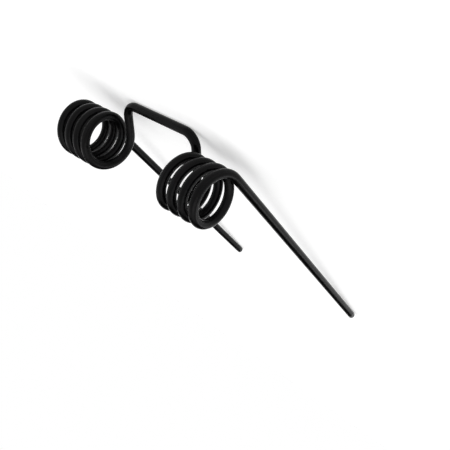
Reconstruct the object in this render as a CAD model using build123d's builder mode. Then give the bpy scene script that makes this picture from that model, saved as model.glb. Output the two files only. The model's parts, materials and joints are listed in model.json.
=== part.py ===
from build123d import *

import os
from math import asin, atan2, cos, degrees, hypot, pi, radians, sin

# Double coil spring: two coils, a bridge between them and two long straight legs, all of one round wire.
#
# Millimetres. The coils share the X axis and the spring is the same on both sides of X = 0.
# It lies on a bench with +Z up, as it comes to rest: on its bridge and on the tips of its legs,
# which run towards +Y. The origin is on the bench, below the middle of the spring's bounding box.

os.makedirs("parts", exist_ok=True)

# The wire
wire_d = 10.0  # diameter of the round wire
tip_chamfer = 0.8  # broken edge at the cut end of each leg

# The coils
coil_inside_d = 45.0  # clear width through a coil
coil_pitch = 15.3  # one turn moves the wire this far along the coil's axis
coil_loops = 4  # loops from the riser's line round to the leg's line, less leg_lean
leg_lean = 35.3  # degrees that the leg leans out of the riser's line

# The bridge, its two risers and the legs
riser_spacing = 110.0  # centre to centre
riser_height = 37.8  # from the coil to the middle of the bridge
bend_r = 15.3  # bend from riser to bridge, at the middle of the wire
leg_length = 423.0

# What follows from these
wire_r = wire_d / 2
coil_r = coil_inside_d / 2 + wire_r  # to the middle of the wire
coil_sweep = 360 * coil_loops - leg_lean  # degrees turned from riser to leg
coil_length = coil_pitch * coil_sweep / 360
lead = atan2(coil_pitch, 2 * pi * coil_r)  # angle that the coiled wire leans along its axis
riser_x = riser_spacing / 2

# A riser and a leg cross the axis squarely, so the wire eases through the lead angle where it
# meets the coil: a gentle arc that lies flat against the coil's rim.
ease_r = 2 * coil_r
ease_run = ease_r * sin(lead)
ease_shift = ease_r * (1 - cos(lead))


def on_rim(x, angle):
    """Point on a coil's rim, at this angle round from +Y towards +Z."""
    return Vector(x, coil_r * cos(angle), coil_r * sin(angle))


def round_rim(angle):
    """Direction round the rim at this angle, the way the wire winds from riser to leg."""
    return Vector(0, -sin(angle), cos(angle))


# Seen along the axis with the legs level, the leg leaves the bottom of the coil towards +Y and
# the riser comes up to the coil from the bridge, leg_lean below the leg's line.
leg_angle = radians(-90)
riser_angle = leg_angle + radians(leg_lean)
along_riser = round_rim(riser_angle)
across = Vector(1, 0, 0)

coil_start = on_rim(riser_x + ease_shift, riser_angle)
riser_end = coil_start - along_riser * ease_run - across * ease_shift
corner = on_rim(riser_x, riser_angle) - along_riser * riser_height
bridge_end = corner - across * bend_r
riser_start = corner + along_riser * bend_r

coil_end = on_rim(coil_start.X + coil_length, leg_angle)
leg_x = coil_end.X + ease_shift
leg_start = Vector(leg_x, ease_run, -coil_r)
leg_tip = Vector(leg_x, leg_length - tip_chamfer, -coil_r)

# The bent wire's centreline: one side from the bridge to a tip, the same mirrored, and the bridge
with BuildLine() as one_side:
    TangentArc(bridge_end, riser_start, tangent=across)
    Line(riser_start, riser_end)
    TangentArc(riser_end, coil_start, tangent=along_riser)
    winding = Helix(coil_pitch, coil_length, coil_r, direction=across, mode=Mode.PRIVATE)
    first = winding @ 0
    turn = degrees(riser_angle - atan2(first.Z, first.Y))
    add(winding.rotate(Axis.X, turn).translate((coil_start.X, 0, 0)))
    TangentArc(coil_end, leg_start, tangent=one_side.edges()[-1] % 1)
    Line(leg_start, leg_tip)

with BuildLine() as centreline:
    add(one_side.line)
    mirror(about=Plane.YZ)
    Line(bridge_end, (-bridge_end.X, bridge_end.Y, bridge_end.Z))

# The wire's round section at one tip, as three equal arcs, which keeps the coils' faces light to mesh
third = CenterArc((0, 0), wire_r, 0, 120)
at_tip = Plane(origin=leg_tip, z_dir=(0, -1, 0))
section = Face(Wire([at_tip * third.rotate(Axis.Z, 120 * k) for k in range(3)]))

# The wire itself, with its legs level and the edges of its cut ends broken
with BuildPart() as bent_wire:
    sweep(section, path=centreline.edges(), clean=False)
    tips = bent_wire.faces().filter_by(GeomType.PLANE)
    extrude(tips, amount=tip_chamfer, taper=45, clean=False)

# Laid down: it tilts about the coils' axis until the bridge and the tips touch the bench.
# The tip touches at the lower edge of its round side, just behind the chamfer.
foot_y = leg_length - tip_chamfer
foot_z = -coil_r - wire_r
reach_y, drop_z = foot_y - corner.Y, foot_z - corner.Z
tilt = atan2(drop_z, reach_y) + asin(wire_r / hypot(reach_y, drop_z))


def laid(y, z):
    """Where a point of the level wire comes to, before the lift onto the bench."""
    return y * cos(tilt) + z * sin(tilt), z * cos(tilt) - y * sin(tilt)


lift = wire_r - laid(corner.Y, corner.Z)[1]
back = -coil_r - wire_r
front = laid(leg_length, -coil_r + wire_r - tip_chamfer)[0]
shift = -(front + back) / 2

with BuildPart() as spring_wire:
    with Locations(Location((0, shift, lift), (-degrees(tilt), 0, 0))):
        add(bent_wire.part, clean=False)
spring_wire.part.label = "spring_wire"

export_step(spring_wire.part, "parts/spring_wire.step")

box = spring_wire.part.bounding_box()
run = centreline.wire().length
print("size", round(box.size.X, 2), round(box.size.Y, 2), round(box.size.Z, 2))
print("low corner", round(box.min.X, 3), round(box.min.Y, 3), round(box.min.Z, 3))
print("wire length", round(run, 1), "solids", len(spring_wire.part.solids()))
print("volume", round(spring_wire.part.volume, 1), "of", round(pi * wire_r**2 * run, 1))
print("tilt", round(degrees(tilt), 3), "leg spacing", round(2 * leg_x, 2))
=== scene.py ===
# %% [markdown]
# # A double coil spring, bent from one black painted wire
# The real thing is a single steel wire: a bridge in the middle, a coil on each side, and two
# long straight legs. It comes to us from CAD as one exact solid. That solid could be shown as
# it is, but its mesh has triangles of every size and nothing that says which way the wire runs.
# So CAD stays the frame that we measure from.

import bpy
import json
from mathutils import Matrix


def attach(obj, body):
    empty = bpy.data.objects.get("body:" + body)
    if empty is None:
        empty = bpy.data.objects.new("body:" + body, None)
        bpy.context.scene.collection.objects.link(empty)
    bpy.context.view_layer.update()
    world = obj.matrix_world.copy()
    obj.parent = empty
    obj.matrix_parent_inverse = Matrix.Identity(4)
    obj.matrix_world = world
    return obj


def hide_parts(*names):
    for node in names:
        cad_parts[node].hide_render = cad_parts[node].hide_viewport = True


MM = 0.001

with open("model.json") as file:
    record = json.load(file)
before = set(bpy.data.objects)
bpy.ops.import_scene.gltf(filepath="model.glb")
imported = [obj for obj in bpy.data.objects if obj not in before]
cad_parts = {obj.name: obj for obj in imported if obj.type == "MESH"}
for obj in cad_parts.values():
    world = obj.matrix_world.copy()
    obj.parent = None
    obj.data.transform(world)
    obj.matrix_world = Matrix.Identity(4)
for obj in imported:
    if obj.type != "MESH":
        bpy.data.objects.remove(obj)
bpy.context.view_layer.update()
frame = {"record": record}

# %% [markdown]
# ## Where the wire runs
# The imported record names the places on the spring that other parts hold: the clear bore of each
# coil, the straight part of each leg, and the bridge. Reading them here, in place of typing
# sizes again, means that our wire follows the CAD model if those change. The spring is the
# same on both sides, so we read the right side only and mirror it later.

# %% Read the coil, the leg and the bridge
from math import atan2, cos, degrees, pi, radians, sin

import bmesh
import bpy
from mathutils import Matrix, Vector

mounts = {mount["name"]: mount for mount in frame["record"]["mounts"]}
coil, leg, bridge = mounts["right_coil"], mounts["right_leg"], mounts["bridge"]

wire_radius = leg["dims"]["r_mm"] * MM
coil_radius = coil["dims"]["r_mm"] * MM + wire_radius
print("wire", 2 * wire_radius / MM, "mm thick, coil", 2 * coil_radius / MM, "mm across its middle")

# %% [markdown]
# A riser comes up from the bridge, touches the coil's rim, and the wire winds round from there
# until it leaves along the leg. Three directions describe that: across the spring, along the
# leg, and square to both. With them, any point of the rim is an angle, as on a clock face.

# %% Directions and corner points
across = Vector((1, 0, 0))
along_leg = Vector(leg["axis"]).normalized()
square_up = across.cross(along_leg)
along_riser = -Vector(bridge["axis"]).normalized()

coil_middle = Vector(coil["pos_m"])
coil_axis = Vector((0, coil_middle.y, coil_middle.z))
half_coil = across * (coil["dims"]["length_mm"] * MM / 2 - wire_radius)
riser_x = (coil_middle - half_coil).x
leg_x = (coil_middle + half_coil).x
corner = Vector(bridge["pos_m"]) + across * riser_x
bend_radius = riser_x - bridge["dims"]["length_mm"] * MM / 2
leg_half = along_leg * (leg["dims"]["length_mm"] * MM / 2)
leg_start, leg_tip = Vector(leg["pos_m"]) - leg_half, Vector(leg["pos_m"]) + leg_half
print("riser at", round(riser_x / MM, 2), "leg at", round(leg_x / MM, 2),
      "bend", round(bend_radius / MM, 2))

# %% [markdown]
# ## Walking along the wire
# A curve object with a round bevel would give a wire in one line of code. It decides for itself
# how its rings turn along the coils, though, and its ends can't have a broken edge. We walk
# along the wire's middle and note places on the way, each with the direction that the wire has
# there. Short steps are only needed where it bends. The straight parts do with long ones.

# %% Straights and bends as lists of places
BEND_STEP, FEWEST_BEND_STEPS = radians(2.5), 2
STRAIGHT_STEP = 10 * MM


def straight(start, end):
    """Places from start to end, without the last one."""
    steps = max(1, round((end - start).length / STRAIGHT_STEP))
    heading = (end - start).normalized()
    return [(start.lerp(end, k / steps), heading) for k in range(steps)]


def bend(start, heading, towards, radius, angle):
    """Places on an arc that leaves start along heading and curves towards a side."""
    steps = max(FEWEST_BEND_STEPS, round(abs(angle) / BEND_STEP))
    places = []
    for k in range(steps):
        a = angle * k / steps
        place = start + heading * (radius * sin(a)) + towards * (radius * (1 - cos(a)))
        places.append((place, heading * cos(a) + towards * sin(a)))
    return places


print("a right angle takes", len(bend(corner, across, along_riser, bend_radius, pi / 2)), "steps")

# %% [markdown]
# The coil is a helix: the wire goes round the rim and moves sideways by one pitch each turn.
# The riser and the leg have no sideways lean, so between them and the helix the bender leaves
# a short soft bend, here an arc of twice the coil's radius. Without it the highlight on the
# paint would break where the leg starts, and that is what gives a computer model away.
# The record doesn't hold the pitch and the number of loops, so these two are typed here as they
# are in the CAD source, and so is the broken edge at the tip further on.

# %% The winding, with a soft bend at each end
COIL_PITCH = 15.3 * MM
COIL_LOOPS = 4
WINDING_STEP = radians(5)

leg_lean = along_leg.angle(along_riser)
start_angle = -pi / 2 + leg_lean
winding_sweep = COIL_LOOPS * 2 * pi - leg_lean
lead = atan2(COIL_PITCH, 2 * pi * coil_radius)
soft_radius = 2 * coil_radius
soft_shift = soft_radius * (1 - cos(lead))


def on_rim(x, angle):
    """A point on the rim, this far across the spring and at this angle."""
    return coil_axis + across * x + (along_leg * cos(angle) + square_up * sin(angle)) * coil_radius


def round_rim(angle):
    """The direction round the rim at this angle, the way that the wire winds."""
    return square_up * cos(angle) - along_leg * sin(angle)


def winding():
    """Places round the coil, from where the riser's soft bend ends to where the leg's starts."""
    steps = round(winding_sweep / WINDING_STEP)
    places = []
    for k in range(steps):
        turned = winding_sweep * k / steps
        x = riser_x + soft_shift + COIL_PITCH * turned / (2 * pi)
        heading = round_rim(start_angle + turned) * cos(lead) + across * sin(lead)
        places.append((on_rim(x, start_angle + turned), heading))
    return places


print("each coil winds", round(winding_sweep / (2 * pi), 2), "turns in", len(winding()), "steps")

# %% [markdown]
# Now the walk itself, from the middle of the bridge out to the right tip. Each stretch starts
# where the one before it ended, so the wire has no kinks.

# %% One side of the wire's middle line
riser_end = on_rim(riser_x, start_angle) - along_riser * (soft_radius * sin(lead))
riser_start = corner + along_riser * bend_radius
bridge_end = corner - across * bend_radius
bridge_middle = Vector(bridge["pos_m"])
winding_end_angle = start_angle + winding_sweep
winding_end = on_rim(leg_x - soft_shift, winding_end_angle)
leaning = along_leg * cos(lead) + across * sin(lead)
leaning_side = along_leg * sin(lead) - across * cos(lead)

walk = straight(bridge_middle, bridge_end)
walk += bend(bridge_end, across, along_riser, bend_radius, pi / 2)
walk += straight(riser_start, riser_end)
walk += bend(riser_end, along_riser, across, soft_radius, lead)
walk += winding()
walk += bend(winding_end, leaning, leaning_side, soft_radius, lead)
walk += straight(leg_start, leg_tip)
walk.append((leg_tip, along_leg))
walked = sum((b[0] - a[0]).length for a, b in zip(walk, walk[1:]))
print("half of the wire:", round(walked / MM, 1), "mm in", len(walk), "places")

# %% [markdown]
# ## From a line to a wire
# At every place we set a ring of points square to the wire. If each ring chose its own top, the
# surface would twist. So every ring takes the top of the ring before it and turns it no more
# than the wire itself has turned. The cut end has its sharp edge broken, as a sheared and
# deburred wire has, so two smaller rings close the tip with a flat face.

# %% Rings for one side
RING_POINTS = 32
TIP_EDGE = 0.8 * MM


def ring(place, heading, top, radius):
    """The points of one round section, square to the heading, from its top on."""
    side = heading.cross(top)
    turns = [2 * pi * k / RING_POINTS for k in range(RING_POINTS)]
    return [place + (top * cos(t) + side * sin(t)) * radius for t in turns]


def rings_along(walk):
    """A ring for each place, and how far along the wire it lies."""
    rings, top, along = [], square_up.copy(), 0.0
    for k, (place, heading) in enumerate(walk):
        if k:
            top = walk[k - 1][1].rotation_difference(heading) @ top
            along += (place - walk[k - 1][0]).length
        top = (top - heading * top.dot(heading)).normalized()
        rings.append((ring(place, heading, top, wire_radius), along))
    place, heading = walk[-1]
    end = place + heading * TIP_EDGE
    rings.append((ring(end, heading, top, wire_radius - TIP_EDGE), along + TIP_EDGE))
    return rings, end


side_rings, tip_middle = rings_along(walk)
print(len(side_rings), "rings of", RING_POINTS, "points on each side")

# %% [markdown]
# The left half is the right half in a mirror. Mirroring turns every face inside out, so its
# faces list their corners the other way round. Each corner also gets a UV in metres: round the
# wire, and along it. The paint uses that later.

# %% One face of the skin
skin = bmesh.new()
uv_layer = skin.loops.layers.uv.new("along_the_wire")


def add_face(corners, uvs, mirrored, smooth):
    """A face with a UV at each corner, listed backwards on the mirrored side."""
    if mirrored:
        corners, uvs = corners[::-1], uvs[::-1]
    face = skin.faces.new(corners)
    face.smooth = smooth
    for loop, uv in zip(face.loops, uvs):
        loop[uv_layer].uv = uv


print("the UVs are called", uv_layer.name)

# %% [markdown]
# One side of the skin is a row of bands, from each ring to the next, and a fan of triangles that
# closes the tip. The bands are shaded smooth, because the wire is round. The broken edge and the
# cut face are flat, and so is their shading.

# %% One side of the skin
def skin_side(mirrored):
    """One half of the wire's skin, with its flat cut end."""
    sign = -1 if mirrored else 1
    before, girth = middle_ring, 2 * pi * wire_radius / RING_POINTS
    for number in range(1, len(side_rings)):
        points, along = side_rings[number]
        ring_now = [skin.verts.new((sign * p.x, p.y, p.z)) for p in points]
        start = side_rings[number - 1][1]
        for k in range(RING_POINTS):
            n = (k + 1) % RING_POINTS
            corners = [before[k], before[n], ring_now[n], ring_now[k]]
            uvs = [(k * girth, sign * start), ((k + 1) * girth, sign * start),
                   ((k + 1) * girth, sign * along), (k * girth, sign * along)]
            add_face(corners, uvs, mirrored, smooth=number < len(side_rings) - 1)
        before = ring_now
    middle = skin.verts.new((sign * tip_middle.x, tip_middle.y, tip_middle.z))
    end = side_rings[-1][1]
    for k in range(RING_POINTS):
        corners = [before[k], before[(k + 1) % RING_POINTS], middle]
        uvs = [(k * girth, sign * end), ((k + 1) * girth, sign * end), (k * girth, sign * end)]
        add_face(corners, uvs, mirrored, smooth=False)


print("a side has", len(side_rings) - 1, "bands of", RING_POINTS, "faces")

# %% [markdown]
# Both sides start from the same ring, at the middle of the bridge. That leaves one closed skin,
# which also makes a clean file for printing. In a closed skin every edge has two faces, so we
# count the edges that don't, and the volume shows that the skin holds what it should.

# %% Build both sides and look for holes
CM = 0.01

middle_ring = [skin.verts.new(p) for p in side_rings[0][0]]
skin_side(mirrored=False)
skin_side(mirrored=True)
bmesh.ops.recalc_face_normals(skin, faces=skin.faces)
open_edges = sum(1 for edge in skin.edges if len(edge.link_faces) != 2)
volume = skin.calc_volume() / CM ** 3
print(len(skin.faces), "faces,", open_edges, "open edges, volume", round(volume, 1), "cm3")

# %% [markdown]
# A skin in bmesh is only a worksheet. To be seen, it becomes the mesh of an object. The CAD wire is
# hidden, and goes on doing the touching in the physics. The new object moves with the one body
# that the spring has.

# %% Make it an object that rides on the CAD body
wire_mesh = bpy.data.meshes.new("bent_wire")
skin.to_mesh(wire_mesh)
skin.free()
bent_wire = bpy.data.objects.new("bent_wire", wire_mesh)
bpy.context.scene.collection.objects.link(bent_wire)
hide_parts("spring_wire")
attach(bent_wire, "root")
print(bent_wire.name, "has", len(wire_mesh.vertices), "points")

# %% [markdown]
# ## Tools for materials
# A material in Blender is a graph of nodes. Each node could be made, set and linked in lines of
# its own, but then the graph is hard to see. These three helpers let one call say what a node
# is, what its inputs are, and which other node feeds it.

# %% A small kit for making node materials
def new_material(name):
    """A material with an empty graph of nodes, and that graph."""
    material = bpy.data.materials.new(name)
    material.use_nodes = True
    material.node_tree.nodes.clear()
    return material, material.node_tree


def add_node(tree, kind, values=None, **settings):
    """A node with its settings, and its inputs set or linked by name."""
    node = tree.nodes.new(kind)
    for name, value in settings.items():
        setattr(node, name, value)
    for name, value in (values or {}).items():
        if isinstance(value, bpy.types.NodeSocket):
            tree.links.new(value, node.inputs[name])
        else:
            node.inputs[name].default_value = value
    return node


def between(tree, factor, low, high):
    """A value that goes from low to high as factor goes from 0 to 1."""
    node = add_node(tree, "ShaderNodeMapRange", {"Value": factor, "To Min": low, "To Max": high})
    return node.outputs["Result"]


print("the kit has", [helper.__name__ for helper in (new_material, add_node, between)])

# %% [markdown]
# ## The black paint
# Springs like this one are dipped or powder coated black. The coat is thin and glossy, so what
# we see of it is mostly reflections: the colour itself is nearly black. One flat black with one
# gloss would look like a hole in the picture. A photograph of paint could be wrapped round the
# wire, but it would smear on the coils and blur close up. So the coat is made of noise, which
# has no seams and stays sharp. Three things in it say paint: a fine orange peel, gloss that
# varies a little from place to place, and the faint draw lines of the steel under the coat.
# The lines run along the wire, so they use the UV in metres. The rest uses the place in space.
# A noise has layers, each finer than the last: Detail is how many, and Roughness is how strong
# the finer ones are, here called harsh.

# %% Peel, patches and draw lines
PEEL_PER_METRE, PEEL_LAYERS, PEEL_HARSH = 700, 2.0, 0.45
PATCH_PER_METRE, PATCH_LAYERS, PATCH_HARSH = 45, 4.0, 0.55
LINES_ROUND, LINES_ALONG, LINES_LAYERS = 500, 20, 2.0

paint, tree = new_material("black_spring_paint")
where = add_node(tree, "ShaderNodeTexCoord")
peel = add_node(tree, "ShaderNodeTexNoise", {
    "Vector": where.outputs["Object"], "Scale": PEEL_PER_METRE,
    "Detail": PEEL_LAYERS, "Roughness": PEEL_HARSH})
patches = add_node(tree, "ShaderNodeTexNoise", {
    "Vector": where.outputs["Object"], "Scale": PATCH_PER_METRE,
    "Detail": PATCH_LAYERS, "Roughness": PATCH_HARSH})
stretch = add_node(tree, "ShaderNodeMapping", {
    "Vector": where.outputs["UV"], "Scale": (LINES_ROUND, LINES_ALONG, 1)})
draw_lines = add_node(tree, "ShaderNodeTexNoise", {
    "Vector": stretch.outputs["Vector"], "Scale": 1.0, "Detail": LINES_LAYERS})
print("peel about", round(1 / PEEL_PER_METRE / MM, 1), "mm, patches about",
      round(1 / PATCH_PER_METRE / MM), "mm")

# %% [markdown]
# Peel and draw lines are heights, so they go together into one bump. Bump only tilts the light
# and leaves the outline alone, which is right for a relief of a quarter of a millimetre. The
# coat is thinner on the ridges of the draw lines, so it is a little greyer there, in some
# patches more than in others, and the patches change its gloss too. Fresh gloss paint mirrors
# about one twenty-fifth of the light that meets it, and in a white room that alone would turn
# the wire grey. In the photograph it stays nearly black, so the shine is set well below that.
# It is one number for the whole coat, so it goes on the shader's own input, and in a darker
# scene it can be raised again.

# %% Put the coat together
PAINT_BLACK = (0.0008, 0.0008, 0.0009, 1)
PAINT_THIN = (0.0080, 0.0080, 0.0084, 1)
RIDGE_LOW, RIDGE_HIGH = 0.45, 0.7
GLOSSY, LESS_GLOSSY = 0.1, 0.18
COAT_RELIEF, BUMP_STRENGTH = 0.25 * MM, 1.0
LINE_SHARE = 0.6
COAT_IOR, COAT_SHINE = 1.5, 0.085

ridges = add_node(tree, "ShaderNodeMapRange", {
    "Value": draw_lines.outputs["Fac"], "From Min": RIDGE_LOW, "From Max": RIDGE_HIGH})
thin = add_node(tree, "ShaderNodeMath", {
    0: ridges.outputs["Result"], 1: patches.outputs["Fac"]}, operation="MULTIPLY")
colour = add_node(tree, "ShaderNodeMix", {
    "Factor": thin.outputs[0], "A": PAINT_BLACK, "B": PAINT_THIN}, data_type="RGBA")
lines_height = between(tree, draw_lines.outputs["Fac"], 0.0, LINE_SHARE)
height = add_node(tree, "ShaderNodeMath", {0: peel.outputs["Fac"], 1: lines_height}, operation="ADD")
bump = add_node(tree, "ShaderNodeBump", {
    "Height": height.outputs[0], "Strength": BUMP_STRENGTH, "Distance": COAT_RELIEF})
coat = add_node(tree, "ShaderNodeBsdfPrincipled", {
    "Base Color": colour.outputs["Result"],
    "Roughness": between(tree, patches.outputs["Fac"], GLOSSY, LESS_GLOSSY),
    "Normal": bump.outputs["Normal"], "IOR": COAT_IOR, "Specular IOR Level": COAT_SHINE})
add_node(tree, "ShaderNodeOutputMaterial", {"Surface": coat.outputs["BSDF"]})
wire_mesh.materials.append(paint)
print("paint has", len(tree.nodes), "nodes")

# %% [markdown]
# ## The stage
# The spring lies on a plain white table. A black shiny thing shows what is round it, and here
# the table draws the light band along the under side of each leg. The table has to be white in
# the picture without flooding the spring with light. So its paint adds a glow for rays that come
# from the camera, and for those that come off gloss or through glass, so that reflections show
# the same white table. The rest of it is ordinary paint, and the spring's shadow still falls
# on it. The table is large, because its edge would be a line in every picture.

# %% Lay the table
TABLE_WHITE = (0.8, 0.8, 0.8, 1)
SEEN_GLOW = 0.37
TABLE_HALF = 6.0

table_paint, tree = new_material("white_table")
light_path = add_node(tree, "ShaderNodeLightPath")
seen = light_path.outputs["Is Camera Ray"]
for ray in ("Is Glossy Ray", "Is Transmission Ray"):
    seen = add_node(tree, "ShaderNodeMath", {0: seen, 1: light_path.outputs[ray]},
                    operation="MAXIMUM").outputs[0]
glow = add_node(tree, "ShaderNodeMath", {0: seen, 1: SEEN_GLOW}, operation="MULTIPLY")
white = add_node(tree, "ShaderNodeBsdfDiffuse", {"Color": TABLE_WHITE})
shine = add_node(tree, "ShaderNodeEmission", {"Strength": glow.outputs[0]})
both = add_node(tree, "ShaderNodeAddShader", {0: white.outputs[0], 1: shine.outputs[0]})
add_node(tree, "ShaderNodeOutputMaterial", {"Surface": both.outputs[0]})

table_mesh = bpy.data.meshes.new("white_table")
corners = [(x * TABLE_HALF, y * TABLE_HALF, 0) for x, y in ((-1, -1), (1, -1), (1, 1), (-1, 1))]
table_mesh.from_pydata(corners, [], [(0, 1, 2, 3)])
table_mesh.materials.append(table_paint)
table = bpy.data.objects.new("white_table", table_mesh)
bpy.context.scene.collection.objects.link(table)
print("table is", 2 * TABLE_HALF, "m wide")

# %% [markdown]
# ## Light
# The light on black gloss is shaped by what the wire mirrors. Many small lamps would put a
# bright dot on every turn, and the photograph has none. So the world is a white tent, as round
# a small product on a table, and its level is plain: a grey card beside the spring would look
# about as grey as it is. One soft round patch in the tent is dark: a black flag, which is a
# cloth on a stand, hangs beyond the legs. Its reflection makes one side of each leg and the
# tops of the coils darker. All round, a low white wall stands behind the table, and a
# taller white card stands where the camera looks, so that the background stays white.

# %% Directions in the tent
world = bpy.data.worlds.new("white_tent")
bpy.context.scene.world = world
world.use_nodes = True
tent = world.node_tree
tent.nodes.clear()
looked_in = add_node(tent, "ShaderNodeTexCoord")


def way(heading, up):
    """A direction from its heading, turned from +Y towards +X, and its angle above the table."""
    return Vector((sin(heading) * cos(up), cos(heading) * cos(up), sin(up)))


print("a level heading of 90 degrees is", tuple(round(v, 2) for v in way(pi / 2, 0)))

# %% [markdown]
# A round patch in the world needs no picture. The angle between its middle and the direction
# that is looked in says how far inside it we are, and a smooth step makes its edge soft. The
# same helper makes the black flag and the white card.

# %% The black flag and the white card
FLAG_HEADING, FLAG_UP, FLAG_INNER, FLAG_OUTER = radians(16), radians(24), radians(40), radians(48)
CARD_HEADING, CARD_UP, CARD_INNER, CARD_OUTER = radians(38), radians(10), radians(15), radians(21)


def outside(heading, up, inner, outer):
    """0 inside a round patch of the world, 1 outside it, with a soft edge between two angles."""
    alike = add_node(tent, "ShaderNodeVectorMath", {
        0: looked_in.outputs["Generated"], 1: way(heading, up)}, operation="DOT_PRODUCT")
    patch = add_node(tent, "ShaderNodeMapRange", {
        "Value": alike.outputs["Value"], "From Min": cos(inner), "From Max": cos(outer)},
        interpolation_type="SMOOTHSTEP")
    return patch.outputs["Result"]


off_flag = outside(FLAG_HEADING, FLAG_UP, FLAG_INNER, FLAG_OUTER)
off_card = outside(CARD_HEADING, CARD_UP, CARD_INNER, CARD_OUTER)
print("the tent has a flag", round(2 * degrees(FLAG_OUTER)), "degrees wide")

# %% [markdown]
# The wall is told from the tent by height alone. A strength of 1 is white in the picture, and
# the wall, the card and the cloth of the tent all have it. So the wall and the card only matter
# where they stand in front of the flag, and there they keep it out of the background.

# %% The low wall, and all of it as one world
WALL_TOP, WALL_GONE = radians(5), radians(8)
WHITE_LEVEL, TENT_LEVEL, FLAG_LEVEL = 1.0, 1.0, 0.02
CLOTH_WHITE = (1, 1, 1, 1)

direction = add_node(tent, "ShaderNodeSeparateXYZ", {0: looked_in.outputs["Generated"]})
above_wall = add_node(tent, "ShaderNodeMapRange", {
    "Value": direction.outputs["Z"], "From Min": sin(WALL_TOP), "From Max": sin(WALL_GONE)},
    interpolation_type="SMOOTHSTEP").outputs["Result"]
in_tent = add_node(tent, "ShaderNodeMath", {0: above_wall, 1: off_card}, operation="MULTIPLY")
tent_cloth = between(tent, off_flag, FLAG_LEVEL, TENT_LEVEL)
level = between(tent, in_tent.outputs[0], WHITE_LEVEL, tent_cloth)
shell = add_node(tent, "ShaderNodeBackground", {"Color": CLOTH_WHITE, "Strength": level})
add_node(tent, "ShaderNodeOutputWorld", {"Surface": shell.outputs[0]})
print("the world has", len(tent.nodes), "nodes")

# %% [markdown]
# Two soft boxes stand inside the tent. The large one is on the left, half way up. It lights the
# spring from one side, which makes the coils look round, and gives it a soft shadow on the
# table. The other is low and wide, ahead on the left, and draws a light line along each leg and
# on the rims of the coils. Point lamps would need less room, but they give hard shadows and a
# hard dot on each turn.

# %% Two soft boxes
def soft_box(name, heading, up, away, width, tall, watts):
    """A lamp behind white cloth, this far away in a direction of the tent, turned to the spring."""
    light = bpy.data.lights.new(name, "AREA")
    light.shape, light.size, light.size_y, light.energy = "RECTANGLE", width, tall, watts
    lamp = bpy.data.objects.new(name, light)
    lamp.location = way(heading, up) * away
    lamp.rotation_mode = "QUATERNION"
    lamp.rotation_quaternion = (-lamp.location).to_track_quat("-Z", "Y")
    bpy.context.scene.collection.objects.link(lamp)


soft_box("side_box", heading=radians(-98), up=radians(42), away=2.2, width=1.6, tall=1.6, watts=8)
soft_box("low_box", heading=radians(-48), up=radians(9), away=1.6, width=0.9, tall=0.45, watts=2.5)

# %% [markdown]
# ## The camera
# The photograph was taken from low down, behind the coils, looking along the legs, and with the
# camera rolled far over: the spring seems to hang in the picture. These few numbers say that:
# where the camera is, which way it heads, how far it looks down, and its roll.

# %% Set up the camera
CAMERA_PLACE = Vector((-469.3, -649.1, 157.3)) * MM
CAMERA_HEADING = radians(36.2)
LOOK_DOWN = radians(9.25)
ROLL = radians(-143.83)
LENS_MM, SENSOR_MM = 49.76, 36.0

level_right = Vector((cos(CAMERA_HEADING), -sin(CAMERA_HEADING), 0))
forward = way(CAMERA_HEADING, -LOOK_DOWN)
level_up = level_right.cross(forward)
image_right = level_right * cos(ROLL) + level_up * sin(ROLL)
image_up = image_right.cross(forward)

camera_data = bpy.data.cameras.new("camera")
camera_data.lens, camera_data.sensor_width = LENS_MM, SENSOR_MM
camera = bpy.data.objects.new("camera", camera_data)
axes = Matrix((image_right, image_up, -forward)).transposed()
camera.matrix_world = Matrix.Translation(CAMERA_PLACE) @ axes.to_4x4()
bpy.context.scene.collection.objects.link(camera)
bpy.context.scene.camera = camera
bpy.context.scene.view_settings.view_transform = "Standard"
print("the camera is", round(CAMERA_PLACE.length, 2), "m from the origin")

# %% [markdown]
# ## Last look
# Our wire has to be as large as the CAD solid that it stands for, give or take a few hundredths
# of a millimetre.

# %% Finish
import json
